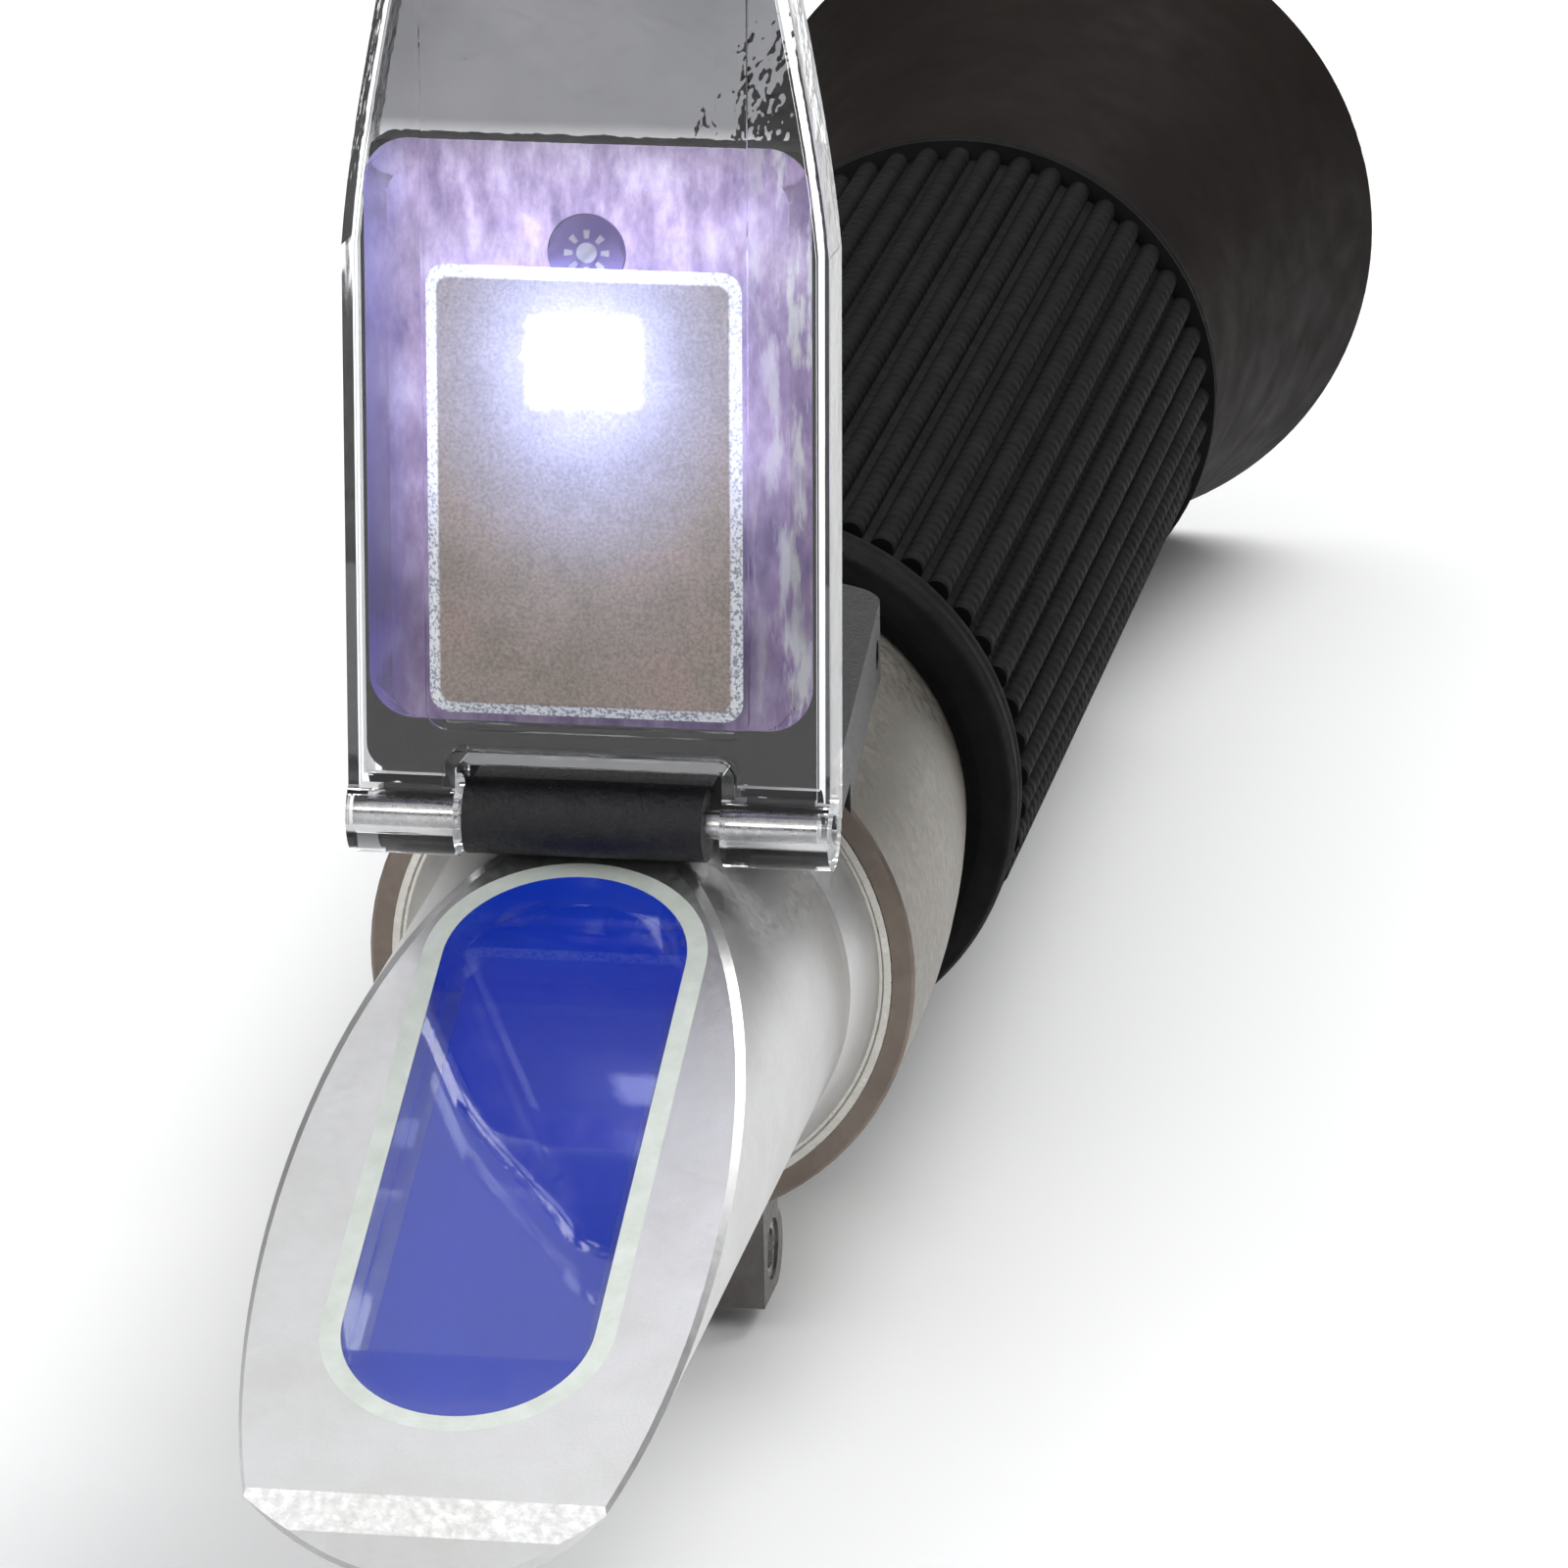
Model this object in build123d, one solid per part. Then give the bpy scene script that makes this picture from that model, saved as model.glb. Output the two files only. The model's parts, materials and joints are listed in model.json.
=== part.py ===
"""Handheld refractometer with a lit daylight plate, one STEP file per physical piece.

Millimetres. Y runs along the body from the nose (-Y) to the eyepiece (+Y), Z is up through
the prism face, X is to the right seen from the nose. The pieces are drawn about a working
origin on the body axis, in the plane of the main tube's front edge, and save() moves them so
that the finished origin is under the middle of the whole. The daylight plate stands open.
"""
import math
import os

from build123d import *

# ---------------------------------------------------------------- driving dimensions
NOSE_Y = -49.5              # front face of the prism head
HEAD_R = 9.9
FLANGE_R = 10.97            # rear flange of the head, where it meets the lock ring
FLANGE_LENGTH = 2.1
SPIGOT_R = 9.58
SPIGOT_LENGTH = 11.0

FACE_SLOPE = 21.86          # degrees between the prism face and the body axis
FACE_Z0 = 13.64             # height of the face plane above the axis at y = 0
WINDOW_Y = -28.45           # middle of the prism window
WINDOW_LENGTH = 34.3
WINDOW_WIDTH = 10.84
SEAL_WIDTH = 0.9
SEAL_DEPTH = 1.5
PRISM_DEPTH = 3.5
MASK_THICKNESS = 0.3

TUBE_FRONT_R = 12.6
TUBE_R = 11.2               # under the grip
TUBE_BORE_R = 9.6
TUBE_LAND = 4.75            # full radius length behind the front edge
TUBE_REAR_Y = 95.0
LOCK_RING_R = 11.56

GRIP_FRONT_Y = 23.8
GRIP_REAR_Y = 94.4
GRIP_COLLAR_R = 13.3
GRIP_BASE_R = 12.75
GRIP_REAR_R = 13.67
RIB_COUNT = 48
RIB_R = 0.62

HINGE_Y = -11.5
HINGE_Z = 10.95
BARREL_R = 1.7
BARREL_HALF = 5.38
PIN_R = 0.65
FLAP_TILT = 4.24            # degrees the open plate leans back from upright
FLAP_SHIFT = 0.24           # the plate sits this far to the right in its play on the pin

SLIDING_GAP = 0.06          # radial clearance of parts that slide or turn in a bore

CUP_REAR_Y = 127.4          # rear rim of the eyecup
CUP_RIM_R = 18.05           # its widest radius, the lowest point of the whole
TO_ORIGIN = Pos(0, -(NOSE_Y + CUP_REAR_Y) / 2, CUP_RIM_R)

# ---------------------------------------------------------------- plain shape helpers


def rod(radius, start, end):
    """Cylinder between two points."""
    span = Vector(*end) - Vector(*start)
    base = Plane(origin=start, z_dir=span)
    return base * Cylinder(radius, span.length, align=(Align.CENTER, Align.CENTER, Align.MIN))


def rod_x(radius, x0, x1, y, z):
    return rod(radius, (x0, y, z), (x1, y, z))


def rod_y(radius, y0, y1):
    return rod(radius, (0, y0, 0), (0, y1, 0))


def ring_y(outer, inner, y0, y1):
    """Flat ring about the body axis."""
    return rod_y(outer, y0, y1) - rod_y(inner, y0 - 1, y1 + 1)


def block(x0, x1, y0, y1, z0, z1):
    """Box between its limits."""
    box = Box(x1 - x0, y1 - y0, z1 - z0)
    return Pos((x0 + x1) / 2, (y0 + y1) / 2, (z0 + z1) / 2) * box


def lathe(edges):
    """Solid turned about the body axis from edges given as (radius, y)."""
    return revolve(make_face(edges), axis=Axis.Y)


def turned(points):
    """Solid turned about the body axis from a closed polygon of (radius, y)."""
    return lathe(Polyline(*points, close=True).edges())


def lens(radius, y_front, y_rear, bulge):
    """Biconvex lens, y limits at its rim, each face bulging out by the given height."""
    front = ThreePointArc((-radius, y_front), (0, y_front - bulge), (radius, y_front))
    rear = ThreePointArc((-radius, y_rear), (0, y_rear + bulge), (radius, y_rear))
    whole = make_face([
        front,
        Line((radius, y_front), (radius, y_rear)),
        rear,
        Line((-radius, y_rear), (-radius, y_front)),
    ])
    half = whole & Pos(radius, 0) * Rectangle(2 * radius, 400)
    return revolve(half, axis=Axis.Y)


def save(shape, name):
    """Write one piece, moved from the working origin to the finished one."""
    export_step(TO_ORIGIN * shape, os.path.join("parts", name + ".step"))


os.makedirs("parts", exist_ok=True)

# ---------------------------------------------------------------- prism head
SLOPE = math.radians(FACE_SLOPE)
window_z = FACE_Z0 + WINDOW_Y * math.tan(SLOPE)
face_plane = Plane(
    origin=(0, WINDOW_Y, window_z),
    x_dir=(1, 0, 0),
    z_dir=(0, -math.sin(SLOPE), math.cos(SLOPE)),
)


def stadium(length, width, top, bottom):
    """Round ended slab in the prism face, heights measured from the face plane."""
    outline = SlotOverall(length, width, rotation=90)
    slab = extrude(outline, amount=top - bottom)
    return face_plane * Pos(0, 0, bottom) * slab


above_face = face_plane * Pos(0, 0, 30) * Box(80, 140, 60)
head_outline = turned([
    (0, NOSE_Y),
    (HEAD_R - 0.5, NOSE_Y),
    (HEAD_R, NOSE_Y + 0.5),
    (HEAD_R, -FLANGE_LENGTH - 0.6),
    (HEAD_R + 0.1, -FLANGE_LENGTH),
    (FLANGE_R, 0),
    (0, 0),
])
head = head_outline - above_face

NOSE_CHAMFER = 0.65
nose_edge_y = NOSE_Y + NOSE_CHAMFER
nose_edge_z = FACE_Z0 + nose_edge_y * math.tan(SLOPE)
chamfer_tilt = SLOPE + math.radians(45)
nose_plane = Plane(
    origin=(0, nose_edge_y, nose_edge_z),
    x_dir=(1, 0, 0),
    z_dir=(0, -math.sin(chamfer_tilt), math.cos(chamfer_tilt)),
)
head -= nose_plane * Pos(0, 0, 10) * Box(60, 60, 20)

slanted_face = head.faces().sort_by(Axis.Z)[-1]
for face in head.faces():
    if face.normal_at().dot(face_plane.z_dir) > 0.999:
        slanted_face = face
rim_edges = slanted_face.edges().filter_by(Axis.X, reverse=True)
head = chamfer(rim_edges, 0.3)

seal_length = WINDOW_LENGTH + 2 * SEAL_WIDTH
seal_width = WINDOW_WIDTH + 2 * SEAL_WIDTH
mask_bottom = -PRISM_DEPTH - MASK_THICKNESS
light_slot = stadium(WINDOW_LENGTH - 1.6, WINDOW_WIDTH - 1.6, mask_bottom, -9)
light_slot = light_slot & rod_y(HEAD_R - 1.5, NOSE_Y + 2, 0)
light_bore = rod_y(7.0, -36, SPIGOT_LENGTH + 1)
light_bore = light_bore - face_plane * Pos(0, 0, mask_bottom - 0.6 + 30) * Box(80, 140, 60)
light_bore = light_bore + rod_y(7.0, -6, SPIGOT_LENGTH + 1)

head += rod_y(SPIGOT_R, 0, SPIGOT_LENGTH)
head -= stadium(seal_length, seal_width, 1, -SEAL_DEPTH)
head -= stadium(WINDOW_LENGTH, WINDOW_WIDTH, 1, mask_bottom)
head -= light_slot
head -= light_bore
save(head, "prism_head")

prism = stadium(WINDOW_LENGTH - 0.04, WINDOW_WIDTH - 0.04, 0, -PRISM_DEPTH)
save(prism, "prism")

prism_mask = stadium(WINDOW_LENGTH - 0.04, WINDOW_WIDTH - 0.04, -PRISM_DEPTH, mask_bottom)
save(prism_mask, "prism_mask")

seal = stadium(seal_length, seal_width, 0, -SEAL_DEPTH)
seal -= stadium(WINDOW_LENGTH, WINDOW_WIDTH, 1, -SEAL_DEPTH - 1)
save(seal, "prism_seal")

# ---------------------------------------------------------------- main tube
TUBE_MID_R = 12.25          # radius half way along the curve from land to grip
tube_mid_y = (TUBE_LAND + GRIP_FRONT_Y) / 2
tube_curve = ThreePointArc(
    (TUBE_FRONT_R, TUBE_LAND),
    (TUBE_MID_R, tube_mid_y),
    (TUBE_R, GRIP_FRONT_Y),
)


def tube_profile(inner):
    """Closed edges of the tube wall from the given inner radius outwards."""
    return [
        Line((inner, 0), (TUBE_FRONT_R - 0.15, 0)),
        Line((TUBE_FRONT_R - 0.15, 0), (TUBE_FRONT_R, 0.15)),
        Line((TUBE_FRONT_R, 0.15), (TUBE_FRONT_R, TUBE_LAND)),
        tube_curve,
        Line((TUBE_R, GRIP_FRONT_Y), (TUBE_R, TUBE_REAR_Y)),
        Line((TUBE_R, TUBE_REAR_Y), (inner, TUBE_REAR_Y)),
        Line((inner, TUBE_REAR_Y), (inner, 0)),
    ]


tube_envelope = lathe(tube_profile(0))
tube = lathe(tube_profile(TUBE_BORE_R))
LOCK_RING_DEPTH = 1.6
tube -= rod_y(LOCK_RING_R, -1, LOCK_RING_DEPTH)

CAL_Y = 13.5                # calibration screw, on top of the tube
CAL_R = 1.8
tube -= rod(CAL_R + SLIDING_GAP, (0, CAL_Y, 6), (0, CAL_Y, 14))
save(tube, "main_tube")

lock_ring = turned([
    (TUBE_BORE_R + 0.02, 0.02),
    (LOCK_RING_R - 0.45, 0.02),
    (LOCK_RING_R - 0.35, -0.1),
    (LOCK_RING_R - 0.02, -0.1),
    (LOCK_RING_R - 0.02, LOCK_RING_DEPTH),
    (TUBE_BORE_R + 0.02, LOCK_RING_DEPTH),
])
save(lock_ring, "lock_ring")

# ---------------------------------------------------------------- hinge saddle and pin
SADDLE_FRONT_Y = -6.5
SADDLE_REAR_Y = 17.6
SADDLE_FRONT_HALF = 10.3
SADDLE_REAR_HALF = 8.3
SADDLE_EDGE_Z = 11.9
SADDLE_CROWN_Z = 13.6
SADDLE_SLAB_Z = 9.2

plan = make_face(Polyline(
    (-SADDLE_FRONT_HALF, SADDLE_FRONT_Y),
    (SADDLE_FRONT_HALF, SADDLE_FRONT_Y),
    (SADDLE_REAR_HALF, SADDLE_REAR_Y),
    (-SADDLE_REAR_HALF, SADDLE_REAR_Y),
    close=True,
))
section = make_face([
    Line((-SADDLE_FRONT_HALF, 6), (-SADDLE_FRONT_HALF, SADDLE_EDGE_Z)),
    ThreePointArc(
        (-SADDLE_FRONT_HALF, SADDLE_EDGE_Z),
        (0, SADDLE_CROWN_Z),
        (SADDLE_FRONT_HALF, SADDLE_EDGE_Z),
    ),
    Line((SADDLE_FRONT_HALF, SADDLE_EDGE_Z), (SADDLE_FRONT_HALF, 6)),
    Line((SADDLE_FRONT_HALF, 6), (-SADDLE_FRONT_HALF, 6)),
])
saddle = extrude(Pos(0, 0, 6) * plan, amount=12)
saddle &= extrude(Plane.XZ * section, amount=40, both=True)
rear_corners = saddle.edges().filter_by(Axis.Z).group_by(Axis.Y)[-1]
saddle = fillet(rear_corners, 1.2)
saddle -= tube_envelope
saddle -= block(-20, 20, -20, 0, 0, SADDLE_SLAB_Z)
saddle -= head_outline
saddle -= rod_y(LOCK_RING_R, -0.1, 1)

BRIDGE_REAR_Y = -2.8        # the bridge carries the barrel out over the head
BRIDGE_BOTTOM_Z = 10.0
BRIDGE_TOP_Z = 12.3
saddle += block(-BARREL_HALF, BARREL_HALF, HINGE_Y, BRIDGE_REAR_Y, BRIDGE_BOTTOM_Z, BRIDGE_TOP_Z)
saddle += rod_x(BARREL_R, -BARREL_HALF, BARREL_HALF, HINGE_Y, HINGE_Z)
saddle -= rod_x(PIN_R, -8, 8, HINGE_Y, HINGE_Z)

PLUG_R = 2.25
saddle -= rod(PLUG_R + SLIDING_GAP, (0, CAL_Y, 6), (0, CAL_Y, 20))

SET_SCREW_Y = 14.9
SET_SCREW_Z = 10.4
SET_SCREW_R = 0.7
SET_SCREW_END = 8.12
set_screws = Part()
for side in (-1, 1):
    hole_end = side * 10
    saddle -= rod(SET_SCREW_R, (side * 5.2, SET_SCREW_Y, SET_SCREW_Z), (hole_end, SET_SCREW_Y, SET_SCREW_Z))
    screw = rod(
        SET_SCREW_R,
        (side * 7.35, SET_SCREW_Y, SET_SCREW_Z),
        (side * SET_SCREW_END, SET_SCREW_Y, SET_SCREW_Z),
    )
    screw -= rod(
        0.35,
        (side * (SET_SCREW_END - 0.6), SET_SCREW_Y, SET_SCREW_Z),
        (side * (SET_SCREW_END + 1), SET_SCREW_Y, SET_SCREW_Z),
    )
    set_screws += screw
save(saddle, "hinge_saddle")
save(set_screws, "saddle_set_screws")

PIN_HALF = 10.4
hinge_pin = rod_x(PIN_R, -PIN_HALF, PIN_HALF, HINGE_Y, HINGE_Z)
save(hinge_pin, "hinge_pin")

# ---------------------------------------------------------------- foot lug
FOOT_LUG_HALF = 5.15
FOOT_Z = -17.1
lug_profile = [
    Line((1.55, -10.5), (1.55, FOOT_Z)),
    Line((1.55, FOOT_Z), (4.9, FOOT_Z)),
    ThreePointArc((4.9, FOOT_Z), (6.35, -15.9), (5.4, -13.6)),
    Line((5.4, -13.6), (4.7, -10.5)),
    Line((4.7, -10.5), (1.55, -10.5)),
]
lug_plane = Plane(origin=(-FOOT_LUG_HALF, 0, 0), x_dir=(0, 1, 0), z_dir=(1, 0, 0))
foot_lug = extrude(lug_plane * make_face(lug_profile), amount=2 * FOOT_LUG_HALF)
LUG_PIN_Y = 3.9
LUG_PIN_Z = -15.0
LUG_PIN_R = 1.45
foot_lug -= tube_envelope
foot_lug -= rod_x(LUG_PIN_R, -9, 9, LUG_PIN_Y, LUG_PIN_Z)
save(foot_lug, "foot_lug")

lug_pin_half = FOOT_LUG_HALF - 0.15
foot_pin = rod_x(LUG_PIN_R, -lug_pin_half, lug_pin_half, LUG_PIN_Y, LUG_PIN_Z)
foot_pin -= rod_x(0.95, -lug_pin_half - 1, -lug_pin_half + 0.5, LUG_PIN_Y, LUG_PIN_Z)
foot_pin -= rod_x(0.95, lug_pin_half - 0.5, lug_pin_half + 1, LUG_PIN_Y, LUG_PIN_Z)
save(foot_pin, "foot_pin")

# ---------------------------------------------------------------- grip sleeve
COLLAR_END_Y = 28.2
RIB_START_Y = 28.0
RIB_END_Y = 93.0
grip = lathe([
    Line((TUBE_R, GRIP_FRONT_Y), (TUBE_R + 0.7, GRIP_FRONT_Y)),
    ThreePointArc((TUBE_R + 0.7, GRIP_FRONT_Y), (12.9, 24.4), (GRIP_COLLAR_R, 26.0)),
    Line((GRIP_COLLAR_R, 26.0), (GRIP_COLLAR_R, COLLAR_END_Y - 0.8)),
    ThreePointArc((GRIP_COLLAR_R, COLLAR_END_Y - 0.8), (13.1, 28.0), (GRIP_BASE_R, COLLAR_END_Y + 0.3)),
    Line((GRIP_BASE_R, COLLAR_END_Y + 0.3), (GRIP_BASE_R, RIB_END_Y - 0.4)),
    Line((GRIP_BASE_R, RIB_END_Y - 0.4), (GRIP_REAR_R, RIB_END_Y)),
    Line((GRIP_REAR_R, RIB_END_Y), (GRIP_REAR_R, GRIP_REAR_Y - 0.3)),
    Line((GRIP_REAR_R, GRIP_REAR_Y - 0.3), (GRIP_REAR_R - 0.3, GRIP_REAR_Y)),
    Line((GRIP_REAR_R - 0.3, GRIP_REAR_Y), (TUBE_R, GRIP_REAR_Y)),
    Line((TUBE_R, GRIP_REAR_Y), (TUBE_R, GRIP_FRONT_Y)),
])
rib_section = Circle(GRIP_BASE_R) - Circle(TUBE_R + 0.5)
for index in range(RIB_COUNT):
    rib_section += Rot(0, 0, index * 360 / RIB_COUNT) * Pos(GRIP_BASE_R, 0) * Circle(RIB_R)
ribs = extrude(Plane.XZ * rib_section, amount=-(RIB_END_Y - RIB_START_Y - 0.8))
grip += Pos(0, RIB_START_Y + 0.8, 0) * ribs
save(grip, "grip_sleeve")

# ---------------------------------------------------------------- calibration and objective
PIN_OFFSET = 0.7            # eccentric pin of the calibration screw
PIN_GROOVE_HALF = 1.15      # the cell's groove leaves the pin free over an eighth of a turn each way
CAL_TOP_Z = 12.0
cal_screw = rod(CAL_R, (0, CAL_Y, 9.75), (0, CAL_Y, CAL_TOP_Z))
cal_screw += rod(0.5, (PIN_OFFSET, CAL_Y, 8.65), (PIN_OFFSET, CAL_Y, 9.8))
cal_screw -= block(-3, 3, CAL_Y - 0.25, CAL_Y + 0.25, CAL_TOP_Z - 0.8, CAL_TOP_Z + 1)
save(cal_screw, "calibration_screw")

PLUG_TOP_Z = 13.75
plug = rod(PLUG_R, (0, CAL_Y, CAL_TOP_Z + 0.6), (0, CAL_Y, PLUG_TOP_Z))
plug = chamfer(plug.edges().group_by(Axis.Z)[-1], 0.25)
plug -= block(-0.4, 0.4, CAL_Y - 1.4, CAL_Y + 1.4, PLUG_TOP_Z - 0.35, PLUG_TOP_Z + 1)
save(plug, "screw_plug")

CELL_FRONT_Y = 11.9
CELL_REAR_Y = 21.0
cell_outer = TUBE_BORE_R - 0.02
cell = ring_y(cell_outer, 6.6, CELL_FRONT_Y, CELL_REAR_Y)
cell -= rod_y(7.25, 15.3, CELL_REAR_Y + 1)
cell -= ring_y(12, 8.4, CAL_Y - PIN_GROOVE_HALF, CAL_Y + PIN_GROOVE_HALF)
save(cell, "objective_cell")

objective = lens(7.2, 15.6, 17.2, 1.1)
save(objective, "objective_lens")

cell_ring = ring_y(7.22, 6.3, 17.5, 19.0)
save(cell_ring, "objective_ring")

SPRING_START_Y = 21.4
SPRING_LENGTH = 8.2
spring_path = Helix(pitch=SPRING_LENGTH / 4, height=SPRING_LENGTH, radius=8.7)
spring_end = spring_path @ 0
spring_section = Plane(origin=spring_end, z_dir=spring_path % 0) * Circle(0.35)
spring = sweep(spring_section, path=spring_path)
spring = Pos(0, SPRING_START_Y, 0) * Rot(-90, 0, 0) * spring
save(spring, "objective_spring")

STOP_Y = 30.1
spring_stop = ring_y(TUBE_BORE_R - 0.02, 6.8, STOP_Y, STOP_Y + 1.6)
save(spring_stop, "spring_stop")

STRIP_Z = -8.6
strip = block(-2.4, 2.4, STOP_Y + 1.6, 60, STRIP_Z, STRIP_Z + 0.4)
strip += block(-2.4, 2.4, STOP_Y + 1.6, STOP_Y + 2.0, STRIP_Z, -6.2)
save(strip, "bimetal_strip")

strip_screw = rod(0.8, (0, STOP_Y + 2.0, -7.2), (0, STOP_Y + 2.7, -7.2))
strip_screw -= block(-0.15, 0.15, STOP_Y + 2.5, STOP_Y + 3, -9, -6)
save(strip_screw, "strip_screw")

baffle = ring_y(TUBE_BORE_R - 0.02, 5.5, 62.0, 63.2)
save(baffle, "baffle_ring")

reticle_seat = ring_y(TUBE_BORE_R - 0.02, 8.3, 82.2, 84.0)
save(reticle_seat, "reticle_seat")
reticle = rod_y(TUBE_BORE_R - 0.1, 84.0, 85.2)
save(reticle, "reticle")
reticle_ring = ring_y(TUBE_BORE_R - 0.02, 8.0, 85.2, 87.0)
save(reticle_ring, "reticle_ring")

# ---------------------------------------------------------------- eyepiece
guide_outer = TUBE_BORE_R - SLIDING_GAP
GUIDE_BORE_R = 8.7
guide_ring = ring_y(guide_outer, GUIDE_BORE_R, 90.5, 94.4)
save(guide_ring, "guide_ring")

barrel_spigot_r = GUIDE_BORE_R - SLIDING_GAP
BARREL_BORE_R = 7.4
BARREL_SHOULDER_Y = 96.8
BARREL_REAR_Y = 113.0
BARREL_HEAD_R = 11.5
focus_barrel = turned([
    (BARREL_BORE_R, 89.2),
    (barrel_spigot_r, 89.2),
    (barrel_spigot_r, 94.7),
    (9.25, 94.7),
    (9.25, BARREL_SHOULDER_Y),
    (BARREL_HEAD_R, BARREL_SHOULDER_Y),
    (BARREL_HEAD_R, BARREL_REAR_Y),
    (8.7, BARREL_REAR_Y),
    (8.7, 107.6),
    (BARREL_BORE_R, 107.6),
])
save(focus_barrel, "focus_barrel")

barrel_nut = ring_y(9.25, barrel_spigot_r, 89.2, 90.2)
save(barrel_nut, "barrel_nut")

field_lens = lens(BARREL_BORE_R - 0.05, 91.4, 92.8, 0.9)
save(field_lens, "field_lens")
field_ring = ring_y(BARREL_BORE_R - 0.02, 6.6, 93.0, 94.6)
save(field_ring, "field_ring")

eye_lens = lens(8.6, 109.0, 110.4, 1.4)
save(eye_lens, "eye_lens")
eye_ring = ring_y(8.68, 7.6, 110.8, 112.8)
save(eye_ring, "eye_lens_ring")

CUP_FRONT_Y = 96.2
eyecup = lathe([
    Line((BARREL_HEAD_R, BARREL_REAR_Y), (BARREL_HEAD_R, CUP_FRONT_Y)),
    Line((BARREL_HEAD_R, CUP_FRONT_Y), (12.2, CUP_FRONT_Y)),
    ThreePointArc((12.2, CUP_FRONT_Y), (12.55, 96.35), (12.7, 96.7)),
    Spline((12.7, 96.7), (13.6, 104.0), (15.3, 114.5), (CUP_RIM_R, 126.4)),
    ThreePointArc((CUP_RIM_R, 126.4), (17.75, 127.15), (17.0, CUP_REAR_Y)),
    Line((17.0, CUP_REAR_Y), (16.4, 127.1)),
    Spline((16.4, 127.1), (13.4, 118.5), (11.2, 114.6)),
    Line((11.2, 114.6), (8.9, 114.2)),
    Line((8.9, 114.2), (8.9, BARREL_REAR_Y)),
    Line((8.9, BARREL_REAR_Y), (BARREL_HEAD_R, BARREL_REAR_Y)),
])
save(eyecup, "eyecup")

# ---------------------------------------------------------------- daylight plate
# Drawn upright about its hinge axis: X across, Z from the hinge to the free end, Y towards the
# outer side that carries the lamp. The under side faces -Y. The plate is a shallow tray: a thin
# web at the front, with walls that run back from it round the lamp.
flap_place = Pos(FLAP_SHIFT, HINGE_Y, HINGE_Z) * Rot(-FLAP_TILT, 0, 0)

FLAP_HALF = 10.78
FLAP_END = 45.4
TAPER_START = 25.7
TIP_START = 42.0
TIP_HALF = 8.2
LUG_R = 1.85
LUG_INNER = 5.97
NOTCH_TOP = 2.55
WALL = 0.57
WALL_FRONT_Y = -1.15
WALL_BACK_Y = 2.1
WEB_FRONT_Y = -1.0
WEB_BACK_Y = -0.25
BOX_Y = -1.4
CONTACT_Y = -1.72


def upright(outline, y0, y1):
    """Extrude an outline drawn as (x, z) between two depths."""
    return Pos(0, y1, 0) * extrude(Plane.XZ * outline, amount=y1 - y0)


def rounded(half, z0, z1, corner):
    """Round cornered rectangle centred across the plate."""
    return Pos(0, (z0 + z1) / 2) * RectangleRounded(2 * half, z1 - z0, corner)


def flap_outline(inset):
    """Plate outline with the notch for the barrel, shrunk by the inset."""
    half = FLAP_HALF - inset
    tip = TIP_HALF - inset
    end = FLAP_END - inset
    taper = [(half, TAPER_START), (10.1 - inset, 31.0), (9.27 - inset, 35.6), (tip, TIP_START)]
    right = Spline(*taper)
    left = Spline(*[(-x, z) for x, z in taper])
    whole = make_face([
        Line((-half, 0), (half, 0)),
        Line((half, 0), (half, TAPER_START)),
        right,
        ThreePointArc((tip, TIP_START), (tip - 0.9, end - 0.95), (tip - 3, end)),
        Line((tip - 3, end), (-tip + 3, end)),
        ThreePointArc((-tip + 3, end), (-tip + 0.9, end - 0.95), (-tip, TIP_START)),
        left,
        Line((-half, TAPER_START), (-half, 0)),
    ])
    return whole - rounded(LUG_INNER + inset, -NOTCH_TOP - inset, NOTCH_TOP + inset, 0.25 + inset)


plate = upright(flap_outline(0), WEB_FRONT_Y, WEB_BACK_Y)
plate += upright(flap_outline(0) - flap_outline(WALL), WALL_FRONT_Y, WALL_BACK_Y)

BOX_HALF = 7.2
BOX_START = 4.17
BOX_END = 42.0
plate += upright(rounded(BOX_HALF, BOX_START, BOX_END, 0.9), BOX_Y, WEB_FRONT_Y)
for side in (-1, 1):
    plate += rod_x(LUG_R, *sorted((side * LUG_INNER, side * FLAP_HALF)), 0, 0)
plate -= rod_x(PIN_R + 0.05, -FLAP_HALF - 1, FLAP_HALF + 1, 0, 0)
save(flap_place * plate, "daylight_plate")

PAD_HALF = 6.39
PAD_START = 5.6
PAD_END = 24.47
PAD_BEVEL = 0.6


def pad_rectangle(margin, y, corner):
    outline = rounded(PAD_HALF + margin, PAD_START - margin, PAD_END + margin, corner)
    return Pos(0, y, 0) * (Plane.XZ * outline)


pad = loft([pad_rectangle(PAD_BEVEL, BOX_Y, 0.9), pad_rectangle(0, CONTACT_Y, 0.5)])
save(flap_place * pad, "diffuser_pad")

# ---------------------------------------------------------------- lamp in the tray
LABEL_HALF = 9.9
LABEL_START = 4.45
LABEL_END = 30.4
LABEL_CORNER = 2.0
ADHESIVE = 0.15
LED_Z = 20.95
LED_HALF_X = 2.5
LED_HALF_Z = 1.9
BUTTON_Z = 25.6
MARK_R = 1.7

lamp_front_y = WEB_BACK_Y + ADHESIVE
label = rounded(LABEL_HALF, LABEL_START, LABEL_END, LABEL_CORNER) & flap_outline(WALL + 0.05)
label -= Pos(0, BUTTON_Z) * Circle(MARK_R + 0.05)
label -= Pos(0, LED_Z) * Rectangle(2 * LED_HALF_X + 0.3, 2 * LED_HALF_Z + 0.3)
save(flap_place * upright(label, WEB_BACK_Y, lamp_front_y), "adhesive_layer")

mark = upright(Pos(0, BUTTON_Z) * Circle(MARK_R), WEB_BACK_Y, lamp_front_y)
save(flap_place * mark, "button_mark")

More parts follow.
